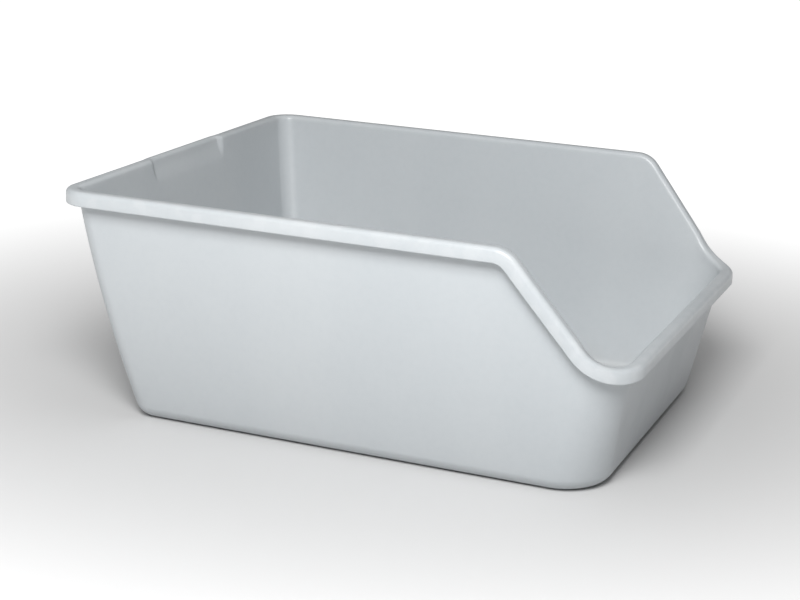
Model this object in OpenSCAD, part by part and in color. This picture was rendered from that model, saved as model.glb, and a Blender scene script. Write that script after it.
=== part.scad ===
// Open cat litter tray, moulded in one piece: a drafted tub with a high back and sides,
// a sloped cut down to a low entrance, and a rolled rim with a hanging flange all round.
// Millimetres. +X is the entrance end, +Z is up, and the floor's middle stands on the origin.

/* [Overall] */
// Length over the rim
tray_l = 540; // [440:2:660]
// Width over the rim
tray_w = 446; // [360:2:560]
// Height of the rim round the back and sides
tray_h = 226; // [180:1:290]
// Height of the rim at the entrance
entry_h = 127; // [80:1:150]

/* [Walls] */
// Thickness of the walls, floor and rim
wall_t = 2.5; // [1.8:0.1:3.5]
// Lean of the side walls
side_lean = 10.5; // [2:0.5:12]
// Lean of the back wall
back_lean = 10; // [2:0.5:12]
// Lean of the front wall
front_lean = 10.5; // [2:0.5:12]
// Outward bow of the back and side walls at half height
wall_bow = 3.5; // [0:0.5:4]

/* [Corners] */
// Radius of the back corners at the floor
back_floor_r = 18; // [10:1:60]
// Radius of the back corners under the rim
back_corner_r = 18; // [8:1:60]
// Radius of the front corners at the floor
front_floor_r = 46; // [20:1:60]
// Radius of the front corners under the rim
front_corner_r = 39; // [20:1:60]
// Fillet radius between the walls and the floor, outside
floor_fillet_r = 14; // [6:1:24]

/* [Rim] */
// How far the rim stands out from the wall
rim_out = 10.75; // [9:0.25:18]
// Depth of the rim's flange from its top to its lower edge
flange_h = 13.5; // [9:0.5:20]
// Radius of the rim's rounded edges
rim_edge_r = 4.5; // [4:0.1:5]

/* [Entrance] */
// Angle of the sloped stretch of the rim
slope_angle = 51; // [35:0.1:60]
// Radius of the knee where the slope begins
knee_r = 27; // [25:1:80]
// Radius of the hollow curve at the foot of the slope
toe_r = 50; // [10:1:60]
// How far behind the rim's front edge the slope would reach the entrance height
toe_in = 26; // [0:0.5:30]

/* [Back recess] */
// Width of the shallow recess in the middle of the back wall
recess_w = 136; // [60:2:200]
// Level width left on top of the rim over the recess
recess_top = 1.25; // [0.25:0.25:2]
// Height over which the recess fades out
recess_h = 20; // [12:1:40]
// How far the rim swells outwards over the recess
recess_swell = 1; // [0:0.1:2]

/* [Base] */
// Width of the band that the tray stands on
foot_w = 14; // [8:1:30]
// Rise of the floor panel inside that band
panel_rise = 1.5; // [0.5:0.1:3]

/* [Hidden] */
plastic = [0.80, 0.82, 0.83];
// Steps along each stretch of half the outline
recess_steps = 4;
corner_steps = 6;
knee_steps = 6;
entry_corner_steps = 9;
// Steps round the rim's edges and the floor fillet
edge_steps = 3;
fillet_steps = 4;
// Width over which each end of the recess steps back, and of the step in the floor round the panel
recess_blend = 9;
panel_step = 3;
// Rounds of the search for the height where the slope cuts a leaning wall
height_rounds = 8;

// Lean of the wall where it turns into the rim, and the rim's top above that line
turn_lean = side_lean;
bend_r = rim_edge_r - wall_t;
rim_rise = rim_edge_r - bend_r * sin(turn_lean);
hem_h = tray_h - rim_rise;
entry_hem_h = entry_h - rim_rise;
front_x = tray_l / 2;
back_x = -tray_l / 2 + recess_swell;
// Depth of the recess at the rim, which leaves room for the rim's two rounded edges
recess_d = rim_out + recess_swell - rim_edge_r - bend_r - recess_top;
// Where the slope would meet the two level stretches, and the arcs that join them
toe_x = front_x - toe_in - rim_rise * tan(slope_angle / 2);
knee_x = toe_x - (tray_h - entry_h) / tan(slope_angle);
hem_knee_r = knee_r - rim_rise;
hem_toe_r = toe_r + rim_rise;
knee_run = hem_knee_r * tan(slope_angle / 2);
toe_run = hem_toe_r * tan(slope_angle / 2);
knee_start_x = knee_x - knee_run;
knee_end_x = knee_x + knee_run * cos(slope_angle);
toe_start_x = toe_x - toe_run * cos(slope_angle);
toe_end_x = toe_x + toe_run;

function lerp(a, b, t) = a + (b - a) * t;
function ease(t) = let(c = min(max(t, 0), 1)) c * c * (3 - 2 * c);
function bow(z) = 4 * wall_bow * z / hem_h * (1 - z / hem_h);

// The outer wall's plan at height z, drawn in by inset:
// [back x, front x, half width, back radius, front radius]
function plan(z, inset) = [
    back_x + rim_out + (hem_h - z) * tan(back_lean) - bow(z) + inset,
    front_x - rim_out - max(entry_hem_h - z, 0) * tan(front_lean) - inset,
    tray_w / 2 - rim_out - (hem_h - z) * tan(side_lean) + bow(z) - inset,
    max(lerp(back_floor_r, back_corner_r, z / hem_h) - inset, 1),
    max(lerp(front_floor_r, front_corner_r, min(z / entry_hem_h, 1)) - inset, 1)
];

// A station is [stretch, t], with t from 0 to 1 along stretch 0 back, 1 back corner, 2 side,
// 3 front corner or 4 front. This gives its [x, y, heading in degrees] on one half of a plan.
function on_plan(p, s) =
    s[0] == 0 ? [p[0], -s[1] * (p[2] - p[3]), 270]
    : s[0] == 1 ? let(a = 180 + 90 * s[1])
        [p[0] + p[3] + p[3] * cos(a), -(p[2] - p[3]) + p[3] * sin(a), a + 90]
    : s[0] == 2 ? [lerp(p[0] + p[3], p[1] - p[4], s[1]), -p[2], 360]
    : s[0] == 3 ? let(a = 270 + 90 * s[1])
        [p[1] - p[4] + p[4] * cos(a), -(p[2] - p[4]) + p[4] * sin(a), a + 90]
    : [p[1], -(p[2] - p[4]) * (1 - s[1]), 450];

// Height and slope (in degrees, falling towards the front) of the hem, the line where the wall
// turns into the rim, below the rim's outer edge at x
function hem_fall(x) =
    x <= knee_start_x || x >= toe_end_x ? 0
    : x <= knee_end_x ? asin((x - knee_start_x) / hem_knee_r)
    : x <= toe_start_x ? slope_angle
    : asin((toe_end_x - x) / hem_toe_r);
function hem_z(x) =
    x <= knee_end_x ? hem_h - hem_knee_r * (1 - cos(hem_fall(x)))
    : x <= toe_start_x ? hem_h - (x - knee_x) * tan(slope_angle)
    : entry_hem_h + hem_toe_r * (1 - cos(hem_fall(x)));
function edge_x(q) = q[0] + rim_out * sin(q[2]);
function hem_at(s, z = hem_h, n = height_rounds) =
    n == 0 ? z : hem_at(s, hem_z(edge_x(on_plan(plan(z, 0), s))), n - 1);

// Stations along half the outline, from the middle of the back to the middle of the front
top_plan = plan(hem_h, 0);
back_run = top_plan[2] - top_plan[3];
side_from = top_plan[0] + top_plan[3];
side_run = top_plan[1] - top_plan[4] - side_from;
function along_back(y) = [0, y / back_run];
function along_side(x) = [2, (x - side_from) / side_run];
recess_from = (recess_w - recess_blend) / 2;
stations = concat(
    [for (i = [0:1]) along_back(recess_from * i / 2)],
    [for (i = [0:recess_steps]) along_back(recess_from + recess_blend * i / recess_steps)],
    [for (i = [1:2]) [0, lerp(along_back(recess_from + recess_blend)[1], 1, i / 3)]],
    [for (i = [0:corner_steps]) [1, i / corner_steps]],
    [for (i = [1:4]) along_side(lerp(side_from, knee_start_x, i / 5))],
    [for (i = [0:knee_steps]) along_side(knee_start_x + hem_knee_r * sin(slope_angle * i / knee_steps))],
    [for (i = [1:2]) [2, lerp(along_side(knee_end_x)[1], 1, i / 3)]],
    [for (i = [0:entry_corner_steps]) [3, i / entry_corner_steps]],
    [for (i = [1:3]) [4, i / 3]]
);
last = len(stations) - 1;

// How far the back wall steps out at a station, at depth d below the hem
function recess_at(s, d) =
    s[0] > 0 ? 0
    : recess_d * ease((recess_from + recess_blend - s[1] * back_run) / recess_blend)
        * ease((recess_h - d) / recess_h);

// A point of the wall at height z, inset from the outer face, for a station with its hem at h
function wall_point(s, z, inset, h) =
    let(q = on_plan(plan(z, inset), s))
    [q[0] - recess_at(s, h - z), q[1], z];

// The rim's section: [out from the wall's face, down from the hem], from the inner face round
// the top and the flange and back to the outer face
function arc(c, r, a0, a1, n) = [for (i = [0:n]) let(a = lerp(a0, a1, i / n)) c + r * [cos(a), sin(a)]];
function rim_section(out) =
    let(
        bend = bend_r * [cos(turn_lean), sin(turn_lean)],
        top = bend[1] - rim_edge_r,
        edge = [out - rim_edge_r, top + rim_edge_r],
        lip = [out - wall_t / 2, top + flange_h - wall_t / 2]
    )
    concat(
        arc(bend, rim_edge_r, 180 + turn_lean, 270, edge_steps),
        arc(edge, rim_edge_r, 270, 360, edge_steps),
        arc(lip, wall_t / 2, 0, 180, edge_steps),
        arc(edge, bend_r, 360, 270, edge_steps),
        arc(bend, bend_r, 270, 180 + turn_lean, edge_steps)
    );

// Rows of the floor and its fillet, as [height, inset], from the middle outwards
foot_inset = floor_fillet_r + foot_w;
panel_inset = foot_inset + panel_step;
function fillet_rows(r, z, inset) = [
    for (i = [0:fillet_steps])
        let(a = 90 * i / fillet_steps)
        [z + r * (1 - cos(a)), inset + r * (1 - sin(a))]
];
inner_floor = concat(
    [[wall_t + panel_rise, panel_inset], [wall_t, foot_inset]],
    fillet_rows(floor_fillet_r - wall_t, wall_t, wall_t)
);
outer_floor = concat([[0, foot_inset]], fillet_rows(floor_fillet_r, 0, 0));
// Rows of the wall: shares of its height up to the recess, then depths below the hem
wall_shares = [0.25, 0.5, 0.75, 1];
recess_depths = [for (i = [3:-1:1]) recess_h * i / 4];

function wall_rows(s, inset, h) = concat(
    [for (k = wall_shares) wall_point(s, lerp(floor_fillet_r, h - recess_h, k), inset, h)],
    [for (d = recess_depths) wall_point(s, h - d, inset, h)]
);
function flip(v) = [for (i = [len(v) - 1:-1:0]) v[i]];

// The whole section at a station, from the inner floor panel over the rim to the underside
function section(s) =
    let(
        h = hem_at(s),
        q = on_plan(plan(h, 0), s),
        step = recess_at(s, 0),
        out = rim_out - step * (1 - recess_swell / recess_d),
        stretch = s[0] == 3 ? 1 + rim_out / plan(h, 0)[4] : 1,
        fall = atan(tan(hem_fall(edge_x(q))) * cos(q[2]) * stretch),
        ahead = [cos(q[2]), sin(q[2]), 0],
        away = [sin(q[2]), -cos(q[2]), 0],
        down = -sin(fall) * ahead - [0, 0, cos(fall)],
        hem = [q[0] - step, q[1], h]
    )
    concat(
        [for (f = inner_floor) wall_point(s, f[0], f[1], h)],
        wall_rows(s, wall_t, h),
        [for (r = rim_section(out)) hem + r[0] * away + r[1] * down],
        flip(wall_rows(s, 0, h)),
        flip([for (f = outer_floor) wall_point(s, f[0], f[1], h)])
    );

half = [for (s = stations) section(s)];
ring = concat(half, [for (i = [last - 1:-1:1]) [for (p = half[i]) [p[0], -p[1], p[2]]]]);

// The moulding before its underside is hollowed: the floor, the walls and the rim in one skin
module tub() {
    n = len(ring);
    m = len(ring[0]);
    walls = [
        for (i = [0:n - 1], j = [0:m - 2])
            let(a = i * m + j, b = (i + 1) % n * m + j)
            each [[a, b + 1, a + 1], [a, b, b + 1]]
    ];
    floor_mid = [0, 0, wall_t + panel_rise];
    base_mid = [0, 0, 0];
    floor_top = [for (i = [0:n - 1]) [n * m, (i + 1) % n * m, i * m]];
    underside = [for (i = [0:n - 1]) [n * m + 1, (i + 1) * m - 1, ((i + 1) % n + 1) * m - 1]];
    polyhedron(
        concat([for (v = ring) each v], [floor_mid, base_mid]),
        concat(walls, floor_top, underside),
        convexity = 6
    );
}

// The hollow under the floor panel, inside the band that the tray stands on
module panel_hollow() {
    side = [for (s = stations) let(q = on_plan(plan(0, panel_inset), s)) [q[0], q[1]]];
    outline = concat(side, [for (i = [last - 1:-1:1]) [side[i][0], -side[i][1]]]);
    translate([0, 0, -panel_rise])
        linear_extrude(2 * panel_rise)
            polygon(outline);
}

module tray() {
    color(plastic)
        difference() {
            tub();
            panel_hollow();
        }
}

tray();
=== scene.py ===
"""Studio scene of an open cat litter tray: one deep moulding with a rolled rim and a low entrance.

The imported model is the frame. The tray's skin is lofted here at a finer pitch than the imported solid,
to the same sizes, and dressed as moulded polypropylene. Metres and radians, +X towards the entrance,
+Z up, with the floor's middle on the origin.
"""

import logging
from dataclasses import dataclass, field
from enum import Enum
from math import asin, atan, cos, pi, radians, sin, tan
from typing import Any, NamedTuple, Optional, Union

import bpy
from mathutils import Matrix, Vector


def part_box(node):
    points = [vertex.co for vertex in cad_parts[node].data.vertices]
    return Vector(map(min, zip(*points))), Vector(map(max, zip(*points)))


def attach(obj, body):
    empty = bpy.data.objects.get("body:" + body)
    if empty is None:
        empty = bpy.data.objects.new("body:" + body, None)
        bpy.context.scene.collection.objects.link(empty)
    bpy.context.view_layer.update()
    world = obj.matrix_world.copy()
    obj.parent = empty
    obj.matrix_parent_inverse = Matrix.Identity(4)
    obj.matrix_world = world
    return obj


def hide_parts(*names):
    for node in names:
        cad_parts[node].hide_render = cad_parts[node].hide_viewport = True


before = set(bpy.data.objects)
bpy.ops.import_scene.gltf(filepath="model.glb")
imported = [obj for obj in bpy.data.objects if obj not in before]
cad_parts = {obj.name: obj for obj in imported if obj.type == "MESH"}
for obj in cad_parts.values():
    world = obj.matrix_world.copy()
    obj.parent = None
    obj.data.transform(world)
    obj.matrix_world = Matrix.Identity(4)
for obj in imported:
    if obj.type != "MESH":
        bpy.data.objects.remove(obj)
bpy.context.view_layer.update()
LOG = logging.getLogger("litter_tray")

Number = Union[int, float]
Triple = tuple[float, float, float]
Channels = tuple[float, float, float, float]
QUARTER = pi / 2


# ---------------------------------------------------------------- small sums


def lerp(start: float, end: float, share: float) -> float:
    """The value a share of the way from start to end."""
    return start + (end - start) * share


def ease(share: float) -> float:
    """A smooth step from 0 to 1, flat at both ends."""
    held = min(max(share, 0.0), 1.0)
    return held * held * (3.0 - 2.0 * held)


def shares(steps: int) -> list[float]:
    """Evenly spaced shares from 0 to 1, both ends included."""
    return [i / steps for i in range(steps + 1)]


def opaque(colour: Triple) -> Channels:
    """The colour with full opacity."""
    return (*colour, 1.0)


# ---------------------------------------------------------------- shader sheets


class Mask(Enum):
    """The masks that the skin carries for its finish."""

    RIM_EDGE = "rim_edge"
    FOOT_OF_WALL = "foot_of_wall"
    FLOOR = "floor"


class Relief(NamedTuple):
    """How deep a texture is in metres, and the share of it that shows."""

    depth: float
    strength: float


@dataclass(frozen=True)
class Grain:
    """Soft noise of one size, and the band of its values that shows as marks.

    Attributes:
        size: Size of its features in metres.
        detail: Octaves of finer noise on top.
        low: Noise at which marks begin.
        high: Noise from which marks are full.
        stretch: How many times longer its features are along each axis.
    """

    size: float
    detail: float
    low: float = 0.0
    high: float = 1.0
    stretch: Triple = (1.0, 1.0, 1.0)


class Value:
    """A number or vector socket of a shader sheet, with Python's operators.

    Each operator adds one Math node, and the reflected forms let a plain number stand first.
    """

    def __init__(self, sheet: "Sheet", socket: bpy.types.NodeSocket) -> None:
        """Wraps a socket of the sheet."""
        self.sheet = sheet
        self.socket = socket

    def _sum(
        self, operation: str, *others: Union["Value", Number], first: Optional[Number] = None
    ) -> "Value":
        """One Math node of self and the others.

        Args:
            operation: The Math node's operation.
            others: The operands that follow self.
            first: An operand that stands before self, for the reflected forms.

        Returns:
            The node's result.
        """
        operands = [self, *others] if first is None else [first, self]
        return self.sheet.node("ShaderNodeMath", {"operation": operation}, dict(enumerate(operands)))

    def __add__(self, other: Union["Value", Number]) -> "Value":
        """self + other."""
        return self._sum("ADD", other)

    __radd__ = __add__

    def __mul__(self, other: Union["Value", Number]) -> "Value":
        """self * other."""
        return self._sum("MULTIPLY", other)

    __rmul__ = __mul__

    def __sub__(self, other: Union["Value", Number]) -> "Value":
        """self - other."""
        return self._sum("SUBTRACT", other)

    def __rsub__(self, other: Number) -> "Value":
        """other - self."""
        return self._sum("SUBTRACT", first=other)

    def at_most(self, other: Union["Value", Number]) -> "Value":
        """The smaller of self and other."""
        return self._sum("MINIMUM", other)

    def at_least(self, other: Union["Value", Number]) -> "Value":
        """The larger of self and other."""
        return self._sum("MAXIMUM", other)

    def ramp(self, low: float, high: float, start: float = 0.0, end: float = 1.0) -> "Value":
        """Maps low..high smoothly to start..end, held at both ends."""
        settings = {"interpolation_type": "SMOOTHSTEP"}
        return self.sheet.node("ShaderNodeMapRange", settings, {0: self, 1: low, 2: high, 3: start, 4: end})


class Sheet:
    """The node tree of a material or of the surround, with one method that adds any node."""

    def __init__(self, owner: Union[bpy.types.Material, bpy.types.World]) -> None:
        """Starts with an empty tree.

        Args:
            owner: The material or the surround whose tree it is.
        """
        owner.use_nodes = True
        self.owner = owner
        self.tree = owner.node_tree
        self.tree.nodes.clear()

    def node(
        self,
        kind: str,
        settings: dict[str, Any],
        inputs: dict[Union[str, int], Any],
        output: Union[str, int] = 0,
    ) -> Value:
        """Adds one node.

        Args:
            kind: The node's type.
            settings: Properties of the node, set before its sockets.
            inputs: A value or a link for each named or numbered socket.
            output: The socket to give back.

        Returns:
            The output socket.
        """
        node = self.tree.nodes.new(kind)
        for key, setting in settings.items():
            setattr(node, key, setting)
        for key, given in inputs.items():
            if isinstance(given, Value):
                self.tree.links.new(given.socket, node.inputs[key])
            else:
                node.inputs[key].default_value = given
        return Value(self, node.outputs[output] if node.outputs else None)

    def place(self) -> Value:
        """The point on the piece, in metres."""
        return self.node("ShaderNodeTexCoord", {}, {}, "Object")

    def mask(self, mask: Mask) -> Value:
        """A mask that the skin carries, from 0 to 1."""
        return self.node("ShaderNodeAttribute", {"attribute_name": mask.value}, {}, "Fac")

    def noise(self, place: Value, grain: Grain) -> Value:
        """Soft noise from 0 to 1.

        Args:
            place: The point at which it is read.
            grain: Its size, detail and stretch.

        Returns:
            The noise.
        """
        scale = [1.0 / along for along in Vector(grain.stretch)]
        point = self.node("ShaderNodeVectorMath", {"operation": "MULTIPLY"}, {0: place, 1: scale})
        inputs = {"Vector": point, "Scale": 1.0 / grain.size, "Detail": grain.detail}
        return self.node("ShaderNodeTexNoise", {}, inputs)

    def marks(self, place: Value, grain: Grain) -> Value:
        """The marks that the grain's noise leaves, from 0 to 1."""
        return self.noise(place, grain).ramp(grain.low, grain.high)

    def blend(self, factor: Value, first: Union[Value, Channels], second: Union[Value, Channels]) -> Value:
        """A colour between first and second."""
        settings = {"data_type": "RGBA", "clamp_factor": True}
        return self.node("ShaderNodeMix", settings, {0: factor, 6: first, 7: second}, 2)

    def bump(self, height: Value, relief: Relief, normal: Optional[Value] = None) -> Value:
        """A normal bent by a height field.

        Args:
            height: The height field, from 0 to 1.
            relief: How deep it is, and how much of it shows.
            normal: A normal that is bent already.

        Returns:
            The bent normal.
        """
        inputs: dict[Union[str, int], Any] = {
            "Height": height,
            "Distance": relief.depth,
            "Strength": relief.strength,
        }
        if normal is not None:
            inputs["Normal"] = normal
        return self.node("ShaderNodeBump", {}, inputs)

    def surface(self, **inputs: Any) -> bpy.types.Material:
        """Closes a material's sheet with a Principled shader.

        Args:
            inputs: Its sockets, with underscores for spaces.

        Returns:
            The material.
        """
        named = {key.replace("_", " "): given for key, given in inputs.items()}
        shader = self.node("ShaderNodeBsdfPrincipled", {}, named)
        self.node("ShaderNodeOutputMaterial", {}, {"Surface": shader})
        return self.owner


@dataclass(frozen=True)
class MouldedPolypropylene:
    """Semi-gloss grey polypropylene, as it leaves a textured mould and after some use.

    Attributes:
        tone: The grey of clean plastic.
        cloud: A slightly darker, cooler grey that drifts through it where the melt flowed.
        rubbed: The paler grey of rubbed edges.
        soiled: The warmer grey of fine dust held at the foot of the walls.
        gloss: Roughness of the clean surface.
        matt: Roughness where it is scuffed.
        refraction: The plastic's index of refraction.
        flow: Streaks that the melt left as it flowed.
        fleck: Fine flecks among the streaks.
        flow_share: Share of the clouding that is streaks, the rest being flecks.
        rub_marks: Where the rim's edges are rubbed.
        rub_share: How strongly they are rubbed.
        dust_marks: Where dust holds.
        foot_dust: How much of it lies at the foot of the walls.
        floor_dust: How much of it lies on the floor.
        across: Scratches along X, on level faces.
        along: Scratches along Y, on level faces.
        upright: Scratches along Z, on the walls.
        floor_scratches: How deeply the floor is scratched.
        stray_scratches: How deeply the rest is scratched in the same way.
        wall_scratches: How deeply the walls are scratched upright.
        scuffs: Where handling has dulled the plastic.
        scuff_wear: Share of the full dullness that scuffs have.
        wear: Share of it that rubbed edges, the floor and scratches each add.
        waves: The shallow waves of a wide thin wall.
        waves_relief: Their depth.
        peel: The mould's fine orange-peel texture.
        peel_relief: Its depth.
        scratch_relief: The depth of the scratches.
    """

    tone: Triple = (0.475, 0.500, 0.515)
    cloud: Triple = (0.440, 0.468, 0.486)
    rubbed: Triple = (0.545, 0.560, 0.570)
    soiled: Triple = (0.400, 0.400, 0.392)
    gloss: float = 0.34
    matt: float = 0.52
    refraction: float = 1.49
    flow: Grain = Grain(0.16, 3.0, 0.35, 0.68, (1.0, 1.0, 2.4))
    fleck: Grain = Grain(0.006, 4.0, 0.38, 0.72)
    flow_share: float = 0.75
    rub_marks: Grain = Grain(0.012, 4.0, 0.42, 0.62)
    rub_share: float = 0.3
    dust_marks: Grain = Grain(0.03, 5.0, 0.30, 0.75)
    foot_dust: float = 0.45
    floor_dust: float = 0.18
    across: Grain = Grain(0.0035, 2.0, 0.66, 0.72, (22.0, 1.0, 1.0))
    along: Grain = Grain(0.0035, 2.0, 0.67, 0.73, (1.0, 22.0, 1.0))
    upright: Grain = Grain(0.003, 2.0, 0.68, 0.74, (1.0, 1.0, 26.0))
    floor_scratches: float = 0.8
    stray_scratches: float = 0.06
    wall_scratches: float = 0.22
    scuffs: Grain = Grain(0.05, 4.0, 0.42, 0.70)
    scuff_wear: float = 0.35
    wear: float = 0.3
    waves: Grain = Grain(0.085, 1.0, stretch=(1.0, 1.0, 1.6))
    waves_relief: Relief = Relief(0.0012, 0.35)
    peel: Grain = Grain(0.0011, 2.0)
    peel_relief: Relief = Relief(0.00012, 0.5)
    scratch_relief: Relief = Relief(0.00008, 0.6)

    def material(self, name: str) -> bpy.types.Material:
        """Builds the finish.

        Args:
            name: Name of the material.

        Returns:
            The material.
        """
        sheet = Sheet(bpy.data.materials.new(name))
        place = sheet.place()
        edge = sheet.mask(Mask.RIM_EDGE)
        foot = sheet.mask(Mask.FOOT_OF_WALL)
        floor = sheet.mask(Mask.FLOOR)

        streaks = sheet.marks(place, self.flow) * self.flow_share
        flecks = sheet.marks(place, self.fleck) * (1.0 - self.flow_share)
        clouded = sheet.blend(streaks + flecks, opaque(self.tone), opaque(self.cloud))

        rub = edge * sheet.marks(place, self.rub_marks) * self.rub_share
        rubbed = sheet.blend(rub, clouded, opaque(self.rubbed))

        dust = (foot * self.foot_dust + floor * self.floor_dust) * sheet.marks(place, self.dust_marks)
        colour = sheet.blend(dust, rubbed, opaque(self.soiled))

        level = sheet.marks(place, self.across).at_least(sheet.marks(place, self.along))
        upright = sheet.marks(place, self.upright) * (1 - floor) * self.wall_scratches
        scratches = (level * (floor * self.floor_scratches + self.stray_scratches) + upright).at_most(1.0)

        scuffed = sheet.marks(place, self.scuffs) * self.scuff_wear
        worn = (scuffed + rub * self.wear + floor * self.wear + scratches * self.wear).at_most(1.0)
        roughness = worn * (self.matt - self.gloss) + self.gloss

        waved = sheet.bump(sheet.noise(place, self.waves), self.waves_relief)
        peeled = sheet.bump(sheet.noise(place, self.peel), self.peel_relief, waved)
        scratched = sheet.bump(1 - scratches, self.scratch_relief, peeled)
        return sheet.surface(
            Base_Color=colour, Roughness=roughness, IOR=self.refraction, Normal=scratched
        )


@dataclass(frozen=True)
class StudioPaper:
    """Matt pale paper with a painted glow that rises away from the tray, leaving the paper darker round the
    tray as painted shade.

    Attributes:
        tone: Its grey under the tray.
        cloud_share: Share of that grey which is left in its faint clouds.
        cloud: The clouds.
        fibre: Its fibres.
        fibre_relief: Their depth.
        roughness: Its roughness.
        painted_glow: Brightness of the painted glow far away, emission standing in for light on the paper.
        painted_glow_from: Distance from the tray's middle at which the painted glow begins; nearer than this
            the paper is left darker as painted shade.
        painted_glow_full: Distance at which the painted glow is full.
    """

    tone: Triple = (0.58, 0.58, 0.58)
    cloud_share: float = 0.985
    cloud: Grain = Grain(0.4, 2.0)
    fibre: Grain = Grain(0.0018, 3.0)
    fibre_relief: Relief = Relief(0.00006, 0.3)
    roughness: float = 0.9
    painted_glow: float = 0.88
    painted_glow_from: float = 0.2
    painted_glow_full: float = 1.15

    def material(self, name: str) -> bpy.types.Material:
        """Builds the finish.

        Args:
            name: Name of the material.

        Returns:
            The material.
        """
        sheet = Sheet(bpy.data.materials.new(name))
        place = sheet.place()
        darker = tuple(self.cloud_share * channel for channel in self.tone)
        colour = sheet.blend(sheet.noise(place, self.cloud), opaque(self.tone), opaque(darker))
        # Painted glow: the paper emits light that rises with distance from the tray's middle, standing in for
        # light far off and leaving painted shade round the tray.
        away = sheet.node("ShaderNodeVectorMath", {"operation": "LENGTH"}, {0: place}, "Value")
        swept = away.ramp(self.painted_glow_from, self.painted_glow_full)
        painted_glow = sheet.blend(swept, opaque((0.0, 0.0, 0.0)), opaque((self.painted_glow,) * 3))
        normal = sheet.bump(sheet.noise(place, self.fibre), self.fibre_relief)
        return sheet.surface(
            Base_Color=colour,
            Roughness=self.roughness,
            Emission_Color=painted_glow,
            Emission_Strength=1.0,
            Normal=normal,
        )


# ---------------------------------------------------------------- the tray


class Stretch(Enum):
    """The stretches of half the tray's outline, in order from the back's middle to the front's."""

    BACK = 0
    BACK_CORNER = 1
    SIDE = 2
    FRONT_CORNER = 3
    FRONT = 4


class Station(NamedTuple):
    """A place on half the outline: a share of the way along one stretch."""

    stretch: Stretch
    share: float


class PlanPoint(NamedTuple):
    """A point of the plan, with the outline's heading there."""

    x: float
    y: float
    heading: float


class RimPoint(NamedTuple):
    """A point of the rim's section: its distance out from the wall, its depth under the hem, and its wear."""

    out: float
    down: float
    wear: float


class SkinPoint(NamedTuple):
    """A point of the skin, with the masks that it carries under their own names."""

    place: Vector
    rim_edge: float = 0.0
    foot_of_wall: float = 0.0
    floor: float = 0.0


@dataclass(frozen=True)
class Pitch:
    """How many steps the skin has along each part of the outline and up the section.

    Attributes:
        recess_flat: Half the recess's flat.
        recess_end: The end of the recess, where it blends into the rim.
        back: The back, from the recess to the corner.
        back_corner: A back corner.
        side: The level side, up to the knee.
        knee: The knee.
        side_end: The side from the knee to the front corner.
        front_corner: A front corner.
        front: Half the front.
        panel_step: The step of the floor's panel.
        fillet: The fillet between floor and wall.
        wall: The wall up to the recess's foot.
        upper_wall: The wall from there to the hem.
        roll: The outside of the rim's bend.
        edge: The rim's outer edge.
        lip: The flange's lip.
        inner: The inside of each bend.
    """

    recess_flat: int = 8
    recess_end: int = 12
    back: int = 10
    back_corner: int = 16
    side: int = 28
    knee: int = 16
    side_end: int = 10
    front_corner: int = 28
    front: int = 14
    panel_step: int = 6
    fillet: int = 12
    wall: int = 14
    upper_wall: int = 8
    roll: int = 8
    edge: int = 9
    lip: int = 6
    inner: int = 5


@dataclass(frozen=True)
class Plan:
    """The outer wall's plan at one height: a rectangle with two radii.

    Attributes:
        back_x: Where the back stands along X.
        front_x: Where the front stands along X.
        half_width: Half its width.
        back_radius: Radius of the back corners.
        front_radius: Radius of the front corners.
    """

    back_x: float
    front_x: float
    half_width: float
    back_radius: float
    front_radius: float

    def at(self, station: Station) -> PlanPoint:
        """The point at a station, on the half with negative Y.

        Args:
            station: The place on the outline.

        Returns:
            The point and the heading there.
        """
        share = station.share
        if station.stretch is Stretch.BACK:
            return PlanPoint(self.back_x, -share * (self.half_width - self.back_radius), 3 * QUARTER)
        if station.stretch is Stretch.SIDE:
            x = lerp(self.back_x + self.back_radius, self.front_x - self.front_radius, share)
            return PlanPoint(x, -self.half_width, 4 * QUARTER)
        if station.stretch is Stretch.FRONT:
            return PlanPoint(self.front_x, -(self.half_width - self.front_radius) * (1 - share), 5 * QUARTER)
        if station.stretch is Stretch.BACK_CORNER:
            radius = self.back_radius
            middle_x = self.back_x + radius
            start = 2 * QUARTER
        else:
            radius = self.front_radius
            middle_x = self.front_x - radius
            start = 3 * QUARTER
        angle = start + QUARTER * share
        middle_y = radius - self.half_width
        return PlanPoint(middle_x + radius * cos(angle), middle_y + radius * sin(angle), angle + QUARTER)


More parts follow.
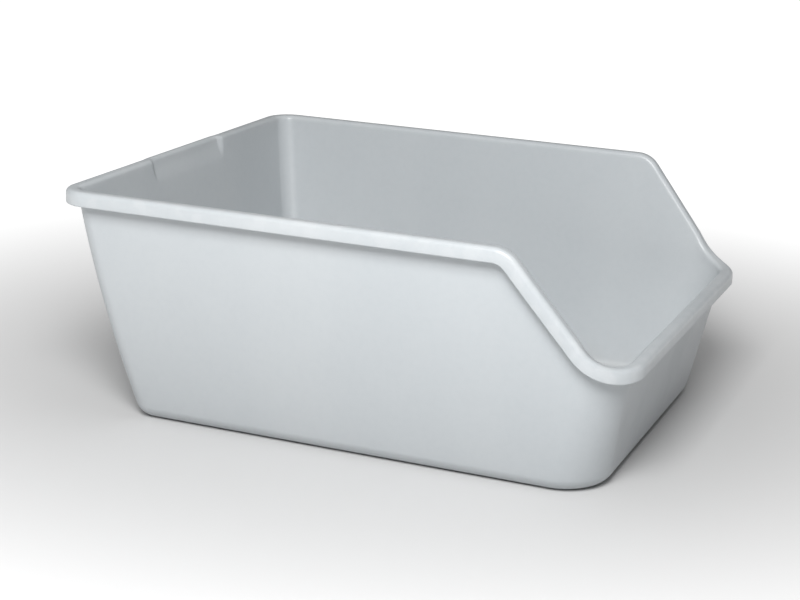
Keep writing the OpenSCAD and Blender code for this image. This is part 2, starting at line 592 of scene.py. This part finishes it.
@dataclass
class LitterTray:
    """The one-piece tray: drafted walls, a sloped cut down to a low entrance, and a rolled rim.

    The overall length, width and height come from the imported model. The other sizes are the design's.

    Attributes:
        length: Over the rim, along X.
        width: Over the rim, along Y.
        height: Over the rim at the back and sides.
        entry_height: Over the rim at the entrance.
        wall: Thickness of the plastic.
        side_lean: Draft of the side walls.
        back_lean: Draft of the back wall.
        front_lean: Draft of the front wall.
        wall_bow: How far the back and side walls bow outwards at half height.
        back_floor_radius: Radius of the back corners at the floor.
        back_corner_radius: Radius of the back corners at the rim.
        front_floor_radius: Radius of the front corners at the floor.
        front_corner_radius: Radius of the front corners at the entrance's height.
        floor_fillet: Outer radius between floor and wall.
        rim_out: How far the rim stands out from the wall.
        flange_height: Depth of the rim's flange.
        rim_edge_radius: Outer radius of the rim's two bends.
        slope: Angle of the sloped rim between the sides and the entrance.
        knee_radius: Radius at the top of the slope.
        toe_radius: Radius at the foot of the slope.
        toe_in: How far the foot of the slope stands back from the front.
        recess_width: Width of the recess in the back's rim, to the middle of its blends.
        recess_top: Level width left on top of the rim over the recess.
        recess_height: How far down the wall the recess reaches.
        recess_swell: How far the rim swells outwards over the recess.
        recess_blend: Width of the blend at each end of the recess.
        foot_width: Width of the band that the tray stands on.
        panel_rise: Rise of the floor's panel inside that band.
        panel_step: Width of the step up to the panel.
        smallest_radius: Least radius that an inset corner keeps.
        roll_wear: Wear on the rim's inner bend.
        edge_wear: Wear on the rim's outer edge.
        lip_wear: Wear on the flange's lip.
        dust_height: How far up the walls dust holds.
        fillet_as_floor: How far the fillet is treated as floor.
        floor_swept: Share of the foot's dust that the open floor has lost.
        hem_rounds: Rounds in which the hem's height is found.
        pitch: How finely the skin is stepped.
        stations: Places round half the outline where the section is cut.
    """

    length: float
    width: float
    height: float
    entry_height: float = 0.127
    wall: float = 0.0025
    side_lean: float = radians(10.5)
    back_lean: float = radians(10.0)
    front_lean: float = radians(10.5)
    wall_bow: float = 0.0035
    back_floor_radius: float = 0.018
    back_corner_radius: float = 0.018
    front_floor_radius: float = 0.046
    front_corner_radius: float = 0.039
    floor_fillet: float = 0.014
    rim_out: float = 0.01075
    flange_height: float = 0.0135
    rim_edge_radius: float = 0.0045
    slope: float = radians(51.0)
    knee_radius: float = 0.027
    toe_radius: float = 0.050
    toe_in: float = 0.026
    recess_width: float = 0.136
    recess_top: float = 0.00125
    recess_height: float = 0.020
    recess_swell: float = 0.0010
    recess_blend: float = 0.009
    foot_width: float = 0.014
    panel_rise: float = 0.0015
    panel_step: float = 0.003
    smallest_radius: float = 0.001
    roll_wear: float = 0.7
    edge_wear: float = 1.0
    lip_wear: float = 0.8
    dust_height: float = 0.035
    fillet_as_floor: float = 0.3
    floor_swept: float = 0.6
    hem_rounds: int = 12
    pitch: Pitch = Pitch()
    stations: list[Station] = field(init=False)

    def __post_init__(self) -> None:
        """Works out the sizes that follow from the others."""
        self.bend_radius = self.rim_edge_radius - self.wall
        self.rim_rise = self.rim_edge_radius - self.bend_radius * sin(self.side_lean)
        self.hem_height = self.height - self.rim_rise
        self.entry_hem_height = self.entry_height - self.rim_rise
        self.front_x = self.length / 2
        self.back_x = -self.length / 2 + self.recess_swell
        self.recess_depth = (
            self.rim_out + self.recess_swell - self.rim_edge_radius - self.bend_radius - self.recess_top
        )
        self.recess_from = (self.recess_width - self.recess_blend) / 2
        self.knee_hem_radius = self.knee_radius - self.rim_rise
        self.toe_hem_radius = self.toe_radius + self.rim_rise
        self.toe_x = self.front_x - self.toe_in - self.rim_rise * tan(self.slope / 2)
        self.knee_x = self.toe_x - (self.height - self.entry_height) / tan(self.slope)
        knee_run = self.knee_hem_radius * tan(self.slope / 2)
        toe_run = self.toe_hem_radius * tan(self.slope / 2)
        self.knee_start = self.knee_x - knee_run
        self.knee_end = self.knee_x + knee_run * cos(self.slope)
        self.toe_start = self.toe_x - toe_run * cos(self.slope)
        self.toe_end = self.toe_x + toe_run
        self.top_plan = self.plan(self.hem_height, 0.0)
        self.back_run = self.top_plan.half_width - self.top_plan.back_radius
        self.stations = self._stations()

    # ---- outlines

    def bow(self, z: float) -> float:
        """How far the back and side walls bow outwards at a height."""
        share = z / self.hem_height
        return 4 * self.wall_bow * share * (1 - share)

    def plan(self, z: float, inset: float) -> Plan:
        """The outer wall's plan at a height, drawn in by an inset.

        Args:
            z: The height.
            inset: How far it is drawn in.

        Returns:
            The plan.
        """
        below_hem = self.hem_height - z
        below_entry = max(self.entry_hem_height - z, 0.0)
        back_radius = lerp(self.back_floor_radius, self.back_corner_radius, z / self.hem_height)
        front_share = min(z / self.entry_hem_height, 1.0)
        front_radius = lerp(self.front_floor_radius, self.front_corner_radius, front_share)
        return Plan(
            back_x=self.back_x + self.rim_out + below_hem * tan(self.back_lean) - self.bow(z) + inset,
            front_x=self.front_x - self.rim_out - below_entry * tan(self.front_lean) - inset,
            half_width=self.width / 2 - self.rim_out - below_hem * tan(self.side_lean) + self.bow(z) - inset,
            back_radius=max(back_radius - inset, self.smallest_radius),
            front_radius=max(front_radius - inset, self.smallest_radius),
        )

    def fall(self, x: float) -> float:
        """Angle at which the rim line falls towards the front.

        Args:
            x: Where the rim's outer edge is.

        Returns:
            The angle below level.
        """
        if x <= self.knee_start or x >= self.toe_end:
            return 0.0
        if x <= self.knee_end:
            return asin((x - self.knee_start) / self.knee_hem_radius)
        if x <= self.toe_start:
            return self.slope
        return asin((self.toe_end - x) / self.toe_hem_radius)

    def hem(self, x: float) -> float:
        """Height of the hem, the line where the wall turns into the rim.

        Args:
            x: Where the rim's outer edge is.

        Returns:
            The height.
        """
        if x <= self.knee_end:
            return self.hem_height - self.knee_hem_radius * (1 - cos(self.fall(x)))
        if x <= self.toe_start:
            return self.hem_height - (x - self.knee_x) * tan(self.slope)
        return self.entry_hem_height + self.toe_hem_radius * (1 - cos(self.fall(x)))

    def edge_x(self, point: PlanPoint) -> float:
        """Where the rim's outer edge is, out from a point of the plan."""
        return point.x + self.rim_out * sin(point.heading)

    def hem_at(self, station: Station) -> float:
        """Height of the hem at a station, found in rounds because the walls lean.

        Args:
            station: The place on the outline.

        Returns:
            The height.
        """
        z = self.hem_height
        for _ in range(self.hem_rounds):
            z = self.hem(self.edge_x(self.plan(z, 0.0).at(station)))
        return z

    def recess(self, station: Station, depth: float) -> float:
        """How far the back wall steps out into the recess.

        Args:
            station: The place on the outline.
            depth: Depth below the hem.

        Returns:
            The step, which is 0 outside the recess.
        """
        if station.stretch is not Stretch.BACK:
            return 0.0
        across = (self.recess_from + self.recess_blend - station.share * self.back_run) / self.recess_blend
        return self.recess_depth * ease(across) * ease((self.recess_height - depth) / self.recess_height)

    def _stations(self) -> list[Station]:
        """The stations of half the outline, closest together where it bends.

        Returns:
            The stations, from the middle of the back to the middle of the front.
        """
        pitch = self.pitch
        side_from = self.top_plan.back_x + self.top_plan.back_radius
        side_run = self.top_plan.front_x - self.top_plan.front_radius - side_from

        def back(y: float) -> Station:
            """The station at a distance from the back's middle."""
            return Station(Stretch.BACK, y / self.back_run)

        def side(x: float) -> Station:
            """The station of the side at x."""
            return Station(Stretch.SIDE, (x - side_from) / side_run)

        found = [back(self.recess_from * share) for share in shares(pitch.recess_flat)[:-1]]
        ends = shares(pitch.recess_end)[:-1]
        found += [back(self.recess_from + self.recess_blend * share) for share in ends]
        recess_end = back(self.recess_from + self.recess_blend).share
        found += [Station(Stretch.BACK, lerp(recess_end, 1.0, share)) for share in shares(pitch.back)[:-1]]
        found += [Station(Stretch.BACK_CORNER, share) for share in shares(pitch.back_corner)[:-1]]
        found += [side(lerp(side_from, self.knee_start, share)) for share in shares(pitch.side)[:-1]]
        bends = [self.knee_hem_radius * sin(self.slope * share) for share in shares(pitch.knee)]
        found += [side(self.knee_start + bend) for bend in bends]
        knee_end = side(self.knee_end).share
        found += [Station(Stretch.SIDE, lerp(knee_end, 1.0, share)) for share in shares(pitch.side_end)[1:-1]]
        found += [Station(Stretch.FRONT_CORNER, share) for share in shares(pitch.front_corner)]
        found += [Station(Stretch.FRONT, share) for share in shares(pitch.front)[1:]]
        return found

    # ---- the section

    def wall_point(self, station: Station, z: float, inset: float, hem: float) -> Vector:
        """A point of the wall at a height and an inset, under a hem at that height."""
        point = self.plan(z, inset).at(station)
        return Vector((point.x - self.recess(station, hem - z), point.y, z))

    def rim_section(self, out: float) -> list[RimPoint]:
        """The rim from the inner face, over its top and round its flange, back to the outer face.

        Args:
            out: How far its outer edge stands from the wall's outer face.

        Returns:
            Its points, in order.
        """
        pitch = self.pitch
        bend = (self.bend_radius * cos(self.side_lean), self.bend_radius * sin(self.side_lean))
        top = bend[1] - self.rim_edge_radius
        edge = (out - self.rim_edge_radius, top + self.rim_edge_radius)
        lip_radius = self.wall / 2
        lip = (out - lip_radius, top + self.flange_height - lip_radius)
        turn = pi + self.side_lean

        def arc(
            middle: tuple[float, float], radius: float, start: float, end: float, wear: float, steps: int
        ) -> list[RimPoint]:
            """Steps round one bend.

            Args:
                middle: Its middle, as distance out and down.
                radius: Its radius.
                start: Angle at which it starts.
                end: Angle at which it ends.
                wear: How worn it is.
                steps: How many steps it has.

            Returns:
                Its points, with both ends.
            """
            angles = [lerp(start, end, share) for share in shares(steps)]
            return [RimPoint(middle[0] + radius * cos(a), middle[1] + radius * sin(a), wear) for a in angles]

        return [
            *arc(bend, self.rim_edge_radius, turn, 3 * QUARTER, self.roll_wear, pitch.roll),
            *arc(edge, self.rim_edge_radius, 3 * QUARTER, 4 * QUARTER, self.edge_wear, pitch.edge),
            *arc(lip, lip_radius, 0.0, pi, self.lip_wear, pitch.lip),
            *arc(edge, self.bend_radius, 4 * QUARTER, 3 * QUARTER, 0.0, pitch.inner),
            *arc(bend, self.bend_radius, 3 * QUARTER, turn, 0.0, pitch.inner),
        ]

    def floor_rows(self, fillet: float, z: float, inset: float) -> list[tuple[float, float]]:
        """Rows of the floor and its fillet, from the raised panel outwards.

        Args:
            fillet: Radius of the fillet.
            z: Height of the floor at its foot band.
            inset: How far the wall's face is drawn in.

        Returns:
            Height and inset of each row.
        """
        foot = self.floor_fillet + self.foot_width
        steps = shares(self.pitch.panel_step)[::-1]
        step = [(z + self.panel_rise * ease(share), foot + self.panel_step * share) for share in steps]
        angles = [QUARTER * share for share in shares(self.pitch.fillet)]
        round_part = [(z + fillet * (1 - cos(a)), inset + fillet * (1 - sin(a))) for a in angles]
        return step + round_part

    def wall_rows(self, station: Station, inset: float, hem: float) -> list[Vector]:
        """Rows of the wall from just above the fillet to just below the hem.

        Args:
            station: Where the section is cut.
            inset: How far the wall's face is drawn in.
            hem: Height of the hem there.

        Returns:
            The rows' points, from the foot up.
        """
        recess_foot = hem - self.recess_height
        low = [lerp(self.floor_fillet, recess_foot, share) for share in shares(self.pitch.wall)[1:]]
        high = [lerp(recess_foot, hem, share) for share in shares(self.pitch.upper_wall)[1:-1]]
        return [self.wall_point(station, z, inset, hem) for z in low + high]

    def section(self, station: Station) -> list[SkinPoint]:
        """The whole section at a station, from the inner floor panel over the rim to the underside.

        Args:
            station: Where the section is cut.

        Returns:
            Its points, each with its masks.
        """
        hem = self.hem_at(station)
        at_hem = self.plan(hem, 0.0).at(station)
        step = self.recess(station, 0.0)
        out = self.rim_out - step * (1 - self.recess_swell / self.recess_depth)
        stretch = 1.0
        if station.stretch is Stretch.FRONT_CORNER:
            stretch += self.rim_out / self.plan(hem, 0.0).front_radius
        fall = atan(tan(self.fall(self.edge_x(at_hem))) * cos(at_hem.heading) * stretch)
        ahead = Vector((cos(at_hem.heading), sin(at_hem.heading), 0.0))
        away = Vector((sin(at_hem.heading), -cos(at_hem.heading), 0.0))
        down = -sin(fall) * ahead - Vector((0.0, 0.0, cos(fall)))
        foot = Vector((at_hem.x - step, at_hem.y, hem))

        inner_floor = self.floor_rows(self.floor_fillet - self.wall, self.wall, self.wall)
        outer_floor = self.floor_rows(self.floor_fillet, 0.0, 0.0)
        points = []
        for z, inset in inner_floor:
            floor = 1.0 if inset > self.floor_fillet else self.fillet_as_floor
            dust = 1.0 - floor * self.floor_swept
            place = self.wall_point(station, z, inset, hem)
            points.append(SkinPoint(place, foot_of_wall=dust, floor=floor))
        for place in self.wall_rows(station, self.wall, hem):
            points.append(SkinPoint(place, foot_of_wall=max(1.0 - place.z / self.dust_height, 0.0)))
        for rim in self.rim_section(out):
            points.append(SkinPoint(foot + rim.out * away + rim.down * down, rim_edge=rim.wear))
        points += [SkinPoint(place) for place in self.wall_rows(station, 0.0, hem)[::-1]]
        points += [SkinPoint(self.wall_point(station, z, inset, hem)) for z, inset in outer_floor[::-1]]
        return points

    # ---- the piece

    def build(self, name: str) -> bpy.types.Object:
        """Lofts the sections round the outline into one closed skin.

        Args:
            name: Name of the piece.

        Returns:
            The piece, without a material.
        """
        half = [self.section(station) for station in self.stations]
        mirror = Vector((1.0, -1.0, 1.0))
        other = [[point._replace(place=point.place * mirror) for point in cut] for cut in half[-2:0:-1]]
        ring = half + other
        count = len(ring)
        rows = len(ring[0])
        points = [point for cut in ring for point in cut]
        faces = []
        for i in range(count):
            here = i * rows
            ahead = (i + 1) % count * rows
            faces += [(here + j, ahead + j, ahead + j + 1, here + j + 1) for j in range(rows - 1)]
        faces.append(tuple(i * rows for i in range(count))[::-1])
        faces.append(tuple(i * rows + rows - 1 for i in range(count)))

        mesh = bpy.data.meshes.new(name)
        mesh.from_pydata([point.place for point in points], [], faces)
        for mask in Mask:
            attribute = mesh.attributes.new(mask.value, "FLOAT", "POINT")
            attribute.data.foreach_set("value", [getattr(point, mask.value) for point in points])
        mesh.polygons.foreach_set("use_smooth", [True] * len(mesh.polygons))
        mesh.update()
        piece = bpy.data.objects.new(name, mesh)
        bpy.context.scene.collection.objects.link(piece)
        return piece

    def dress(self, piece: bpy.types.Object, finish: MouldedPolypropylene) -> None:
        """Gives the piece its plastic, hides the imported tray that it stands in for, and hangs it under the
        root body.

        Args:
            piece: The tray's skin.
            finish: Its plastic.
        """
        piece.data.materials.append(finish.material("moulded_polypropylene"))
        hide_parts("tray")
        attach(piece, "root")


# ---------------------------------------------------------------- the studio


@dataclass
class StudioCamera:
    """A long lens, looking down a little at the tray from its right front.

    Attributes:
        azimuth: Swing of the camera from the tray's right side towards its entrance.
        elevation: Height of the view above the horizon.
        roll: Tilt of the frame.
        distance: From the aim point to the camera.
        aim: The point that the camera looks at.
        lens: Focal length in millimetres.
        sensor: Width of the camera's frame in millimetres.
        shift: Lens shift along and up the frame, as shares of its width.
        reach: How far the camera sees.
    """

    azimuth: float = radians(21.95)
    elevation: float = radians(16.09)
    roll: float = radians(1.83)
    distance: float = 1.320
    aim: Triple = (0.150, -0.376, 0.229)
    lens: float = 80.5
    sensor: float = 36.0
    shift: tuple[float, float] = (-0.0235, -0.0126)
    reach: float = 50.0

    def build(self) -> bpy.types.Object:
        """Makes it the scene's camera.

        Returns:
            The camera.
        """
        level = cos(self.elevation)
        back = Vector((sin(self.azimuth) * level, -cos(self.azimuth) * level, sin(self.elevation)))
        across = (-back).cross(Vector((0.0, 0.0, 1.0))).normalized()
        up = across.cross(-back)
        right = across * cos(self.roll) + up * sin(self.roll)
        top = up * cos(self.roll) - across * sin(self.roll)
        data = bpy.data.cameras.new("studio_camera")
        data.sensor_width = self.sensor
        data.lens = self.lens
        data.shift_x, data.shift_y = self.shift
        data.clip_end = self.reach
        camera = bpy.data.objects.new("studio_camera", data)
        turn = Matrix((right, top, back)).transposed().to_4x4()
        camera.matrix_world = Matrix.Translation(Vector(self.aim) + back * self.distance) @ turn
        bpy.context.scene.collection.objects.link(camera)
        bpy.context.scene.camera = camera
        return camera


@dataclass
class Softbox:
    """A square area light that faces a point.

    Attributes:
        name: Its name.
        place: Where it hangs.
        facing: The point it faces.
        side: Length of its side.
        power: Its power in watts.
    """

    name: str
    place: Triple
    facing: Triple
    side: float
    power: float

    def build(self) -> bpy.types.Object:
        """Hangs the light.

        Returns:
            The light.
        """
        data = bpy.data.lights.new(self.name, "AREA")
        data.shape = "SQUARE"
        data.size = self.side
        data.energy = self.power
        light = bpy.data.objects.new(self.name, data)
        aim = (Vector(self.place) - Vector(self.facing)).to_track_quat("Z", "Y")
        light.matrix_world = Matrix.Translation(self.place) @ aim.to_matrix().to_4x4()
        bpy.context.scene.collection.objects.link(light)
        return light


@dataclass
class Studio:
    """A pale floor, an open pale surround that is brightest overhead, and one soft light.

    Attributes:
        floor_size: Side of the floor.
        paper: The floor's finish.
        overhead: Brightness of the surround overhead.
        level: Its brightness at eye level.
        overhead_from: Height of a direction, from 0 to 1, above which it is fully bright.
        shaded: Share of the eye-level brightness that is left on the tray's entrance side.
        shade_from: Reach of a direction along X, from -1 to 1, at which that shade begins.
        shade_full: Reach at which it is full.
        key_place: Where the soft light hangs.
        key_facing: The point it faces.
        key_side: Length of its side.
        key_power: Its power in watts.
    """

    floor_size: float = 24.0
    paper: StudioPaper = StudioPaper()
    overhead: float = 0.40
    level: float = 0.12
    overhead_from: float = 0.9
    shaded: float = 0.1
    shade_from: float = -0.1
    shade_full: float = 0.7
    key_place: Triple = (0.42, -1.38, 1.27)
    key_facing: Triple = (0.0, 0.0, 0.1)
    key_side: float = 0.7
    key_power: float = 37.5

    def build_floor(self) -> bpy.types.Object:
        """Lays the floor.

        Returns:
            The floor.
        """
        reach = self.floor_size / 2
        corners = [(-reach, -reach, 0.0), (reach, -reach, 0.0), (reach, reach, 0.0), (-reach, reach, 0.0)]
        mesh = bpy.data.meshes.new("studio_floor")
        mesh.from_pydata(corners, [], [(0, 1, 2, 3)])
        floor = bpy.data.objects.new("studio_floor", mesh)
        floor.data.materials.append(self.paper.material("studio_paper"))
        bpy.context.scene.collection.objects.link(floor)
        return floor

    def build_surround(self) -> bpy.types.World:
        """Lights the scene softly from all round, less from the entrance side.

        Returns:
            The surround.
        """
        world = bpy.data.worlds.new("studio_surround")
        sheet = Sheet(world)
        direction = sheet.node("ShaderNodeTexCoord", {}, {}, "Generated")
        side = sheet.node("ShaderNodeSeparateXYZ", {}, {0: direction}, "X")
        height = sheet.node("ShaderNodeSeparateXYZ", {}, {0: direction}, "Z")
        shade = side.ramp(self.shade_from, self.shade_full, 1.0, self.shaded)
        raised = height.ramp(0.0, self.overhead_from, 0.0, self.overhead - self.level)
        inputs = {"Color": opaque((1.0, 1.0, 1.0)), "Strength": raised + self.level * shade}
        background = sheet.node("ShaderNodeBackground", {}, inputs)
        sheet.node("ShaderNodeOutputWorld", {}, {"Surface": background})
        bpy.context.scene.world = world
        bpy.context.scene.view_settings.view_transform = "Standard"
        return world

    def build_light(self) -> bpy.types.Object:
        """Hangs the soft light."""
        softbox = Softbox("key_light", self.key_place, self.key_facing, self.key_side, self.key_power)
        return softbox.build()


def main() -> None:
    """Builds the camera, the studio and the tray, in that order."""
    logging.basicConfig(level=logging.INFO, format="%(name)s: %(message)s")
    camera = StudioCamera().build()
    studio = Studio()
    floor = studio.build_floor()
    surround = studio.build_surround()
    light = studio.build_light()
    LOG.info("studio with %s, %s, %s and %s", camera.name, floor.name, surround.name, light.name)

    low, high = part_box("tray")
    tray = LitterTray(length=high[0] - low[0], width=high[1] - low[1], height=high[2] - low[2])
    skin = tray.build("litter_tray")
    tray.dress(skin, MouldedPolypropylene())
    LOG.info("%s: %d faces round %d stations", skin.name, len(skin.data.polygons), len(tray.stations))


if __name__ == "__main__":
    main()
